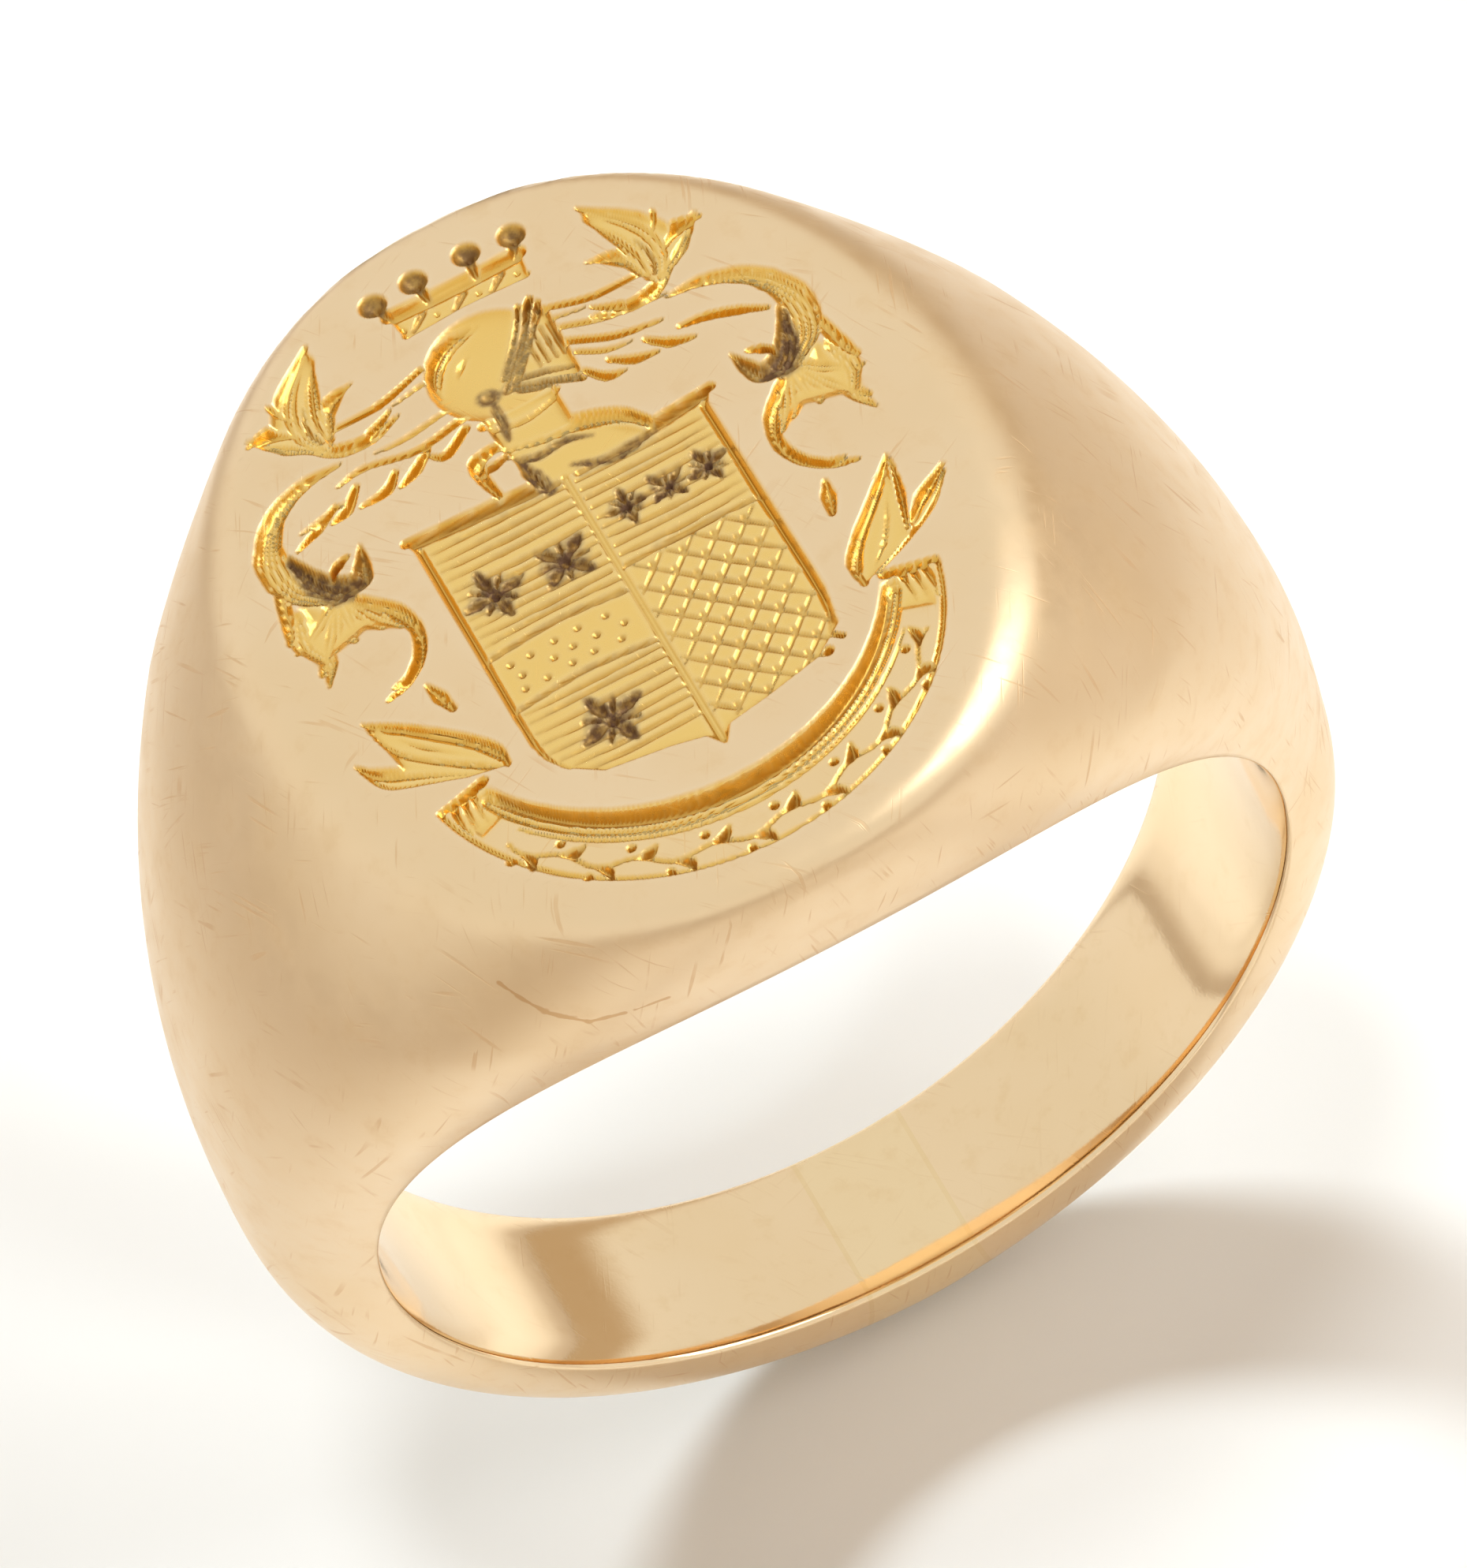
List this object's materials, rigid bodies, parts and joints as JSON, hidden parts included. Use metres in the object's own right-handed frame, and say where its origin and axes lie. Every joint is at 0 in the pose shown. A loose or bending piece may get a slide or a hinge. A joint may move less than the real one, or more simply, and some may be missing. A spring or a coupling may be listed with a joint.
{
  "type": "signet ring",
  "caption": "Oval gold signet ring with an intaglio crest on a flat table, tapering shoulders and a rounded shank with a soldered sizing piece.",
  "frame": {"origin": "middle of the finger hole, on the hole's axis and halfway across the ring", "axes": "+Z out of the engraved table, +Y along the finger hole towards the crest's top, +X to the crest's right"},
  "size_m": [0.023, 0.0178, 0.0249],
  "materials": {
    "satin_gold": "satin yellow gold, worn, with fine scratches; polished inside the hole",
    "insert_gold": "polished yellow gold, a slightly paler alloy",
    "gold_solder": "gold solder, filed flush, pin-holed inside the hole"
  },
  "bodies": {
    "root": {"signet_head": "satin_gold", "shank_left": "satin_gold", "shank_right": "satin_gold", "sizing_insert": "insert_gold", "head_seam_left": "gold_solder", "head_seam_right": "gold_solder", "insert_seam_left": "gold_solder", "insert_seam_right": "gold_solder"}
  },
  "joints": []
}
